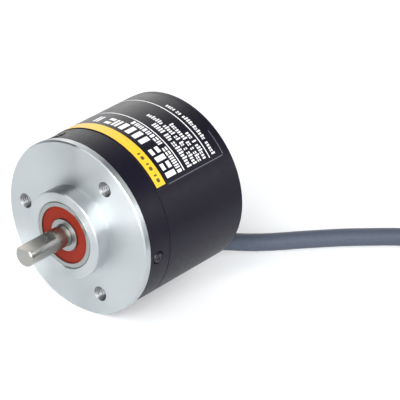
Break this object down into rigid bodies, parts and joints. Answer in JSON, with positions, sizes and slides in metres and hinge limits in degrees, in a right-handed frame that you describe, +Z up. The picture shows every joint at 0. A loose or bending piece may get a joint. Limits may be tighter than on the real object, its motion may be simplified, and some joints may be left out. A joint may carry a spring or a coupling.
{
  "type": "rotary encoder",
  "caption": "Incremental optical rotary encoder with a round flange, pilot boss, flatted shaft, black case and pre-wired cable.",
  "frame": {"origin": "centre of the mounting face, on the shaft's axis, at the foot of the pilot boss", "axes": "-Y along the shaft, out of the boss; +Y towards the rear of the case; +Z up as the encoder lies on its side on the plane z = -25 mm, with the shaft's flat facing +Z"},
  "size_m": [0.1725, 0.1145, 0.05],
  "materials": {
    "turned_aluminium": "fine turned, satin",
    "collar_black": "semi-gloss black",
    "cover_black": "smooth moulded, satin",
    "seal_rubber": "matte",
    "black_screw": "black oxide",
    "label_film": "printed film, semi-gloss",
    "shaft_steel": "ground",
    "spacer_aluminium": "turned",
    "spring_steel": "rolled",
    "bearing_steel": "ground",
    "ball_steel": "polished",
    "cage_brass": "pressed",
    "bearing_seal": "moulded, rust red",
    "hub_brass": "turned",
    "etched_metal": "photo-etched",
    "bright_screw": "zinc plated",
    "holder_plastic": "moulded",
    "led_lens": "clear",
    "tinned_wire": "tinned",
    "chip_plastic": "moulded package",
    "board_laminate": "solder mask",
    "can_aluminium": "drawn can",
    "chip_ceramic": "sintered",
    "connector_plastic": "moulded",
    "bushing_rubber": "moulded",
    "ferrule_steel": "crimped",
    "core_insulation": "extruded",
    "cable_jacket": "extruded vinyl, satin",
    "tie_nylon": "moulded nylon"
  },
  "bodies": {
    "housing": {"flange_housing": "turned_aluminium", "front_collar": "collar_black", "rear_cover": "cover_black", "cover_o_ring": "seal_rubber", "case_screws": "black_screw", "label": "label_film", "preload_washer": "spring_steel", "front_outer_ring": "bearing_steel", "front_seals": "bearing_seal", "rear_outer_ring": "bearing_steel", "rear_seals": "bearing_seal", "led_holder": "holder_plastic", "led_holder_screws": "bright_screw", "led_emitter": "led_lens", "led_leads": "tinned_wire", "photosensor": "chip_plastic", "slit_plate": "etched_metal", "main_board": "board_laminate", "board_chip": "chip_plastic", "board_capacitor": "can_aluminium", "board_chip_parts": "chip_ceramic", "wire_connector": "connector_plastic", "board_standoffs": "hub_brass", "board_screws": "bright_screw", "cable_bushing": "bushing_rubber", "cable_ferrule": "ferrule_steel", "inner_cores": "core_insulation", "cable_jacket_end": "cable_jacket", "cable_tube": "cable_jacket", "cable_coil": "cable_jacket", "coil_tie": "tie_nylon", "cable_end_cores": "core_insulation"},
    "rotor": {"shaft": "shaft_steel", "bearing_spacer": "spacer_aluminium", "retaining_clip": "spring_steel", "front_inner_ring": "bearing_steel", "rear_inner_ring": "bearing_steel", "disc_hub": "hub_brass", "hub_set_screw": "black_screw", "code_disc": "etched_metal", "disc_clamp_ring": "hub_brass", "disc_clamp_screws": "bright_screw"},
    "front_ball_set": {"front_balls": "ball_steel", "front_cage": "cage_brass"},
    "rear_ball_set": {"rear_balls": "ball_steel", "rear_cage": "cage_brass"}
  },
  "joints": [
    {"name": "shaft_spin", "type": "hinge", "parent": "housing", "child": "rotor", "pos_m": [0, 0, 0], "axis": [0, -1, 0], "continuous": true},
    {"name": "front_ball_set_spin", "type": "hinge", "parent": "housing", "child": "front_ball_set", "pos_m": [0, -0.0019, 0], "axis": [0, -1, 0], "continuous": true},
    {"name": "rear_ball_set_spin", "type": "hinge", "parent": "housing", "child": "rear_ball_set", "pos_m": [0, 0.01, 0], "axis": [0, -1, 0], "continuous": true}
  ],
  "couplings": [
    {"joint": "front_ball_set_spin", "follows": "shaft_spin", "ratio": 0.36},
    {"joint": "rear_ball_set_spin", "follows": "shaft_spin", "ratio": 0.36}
  ]
}
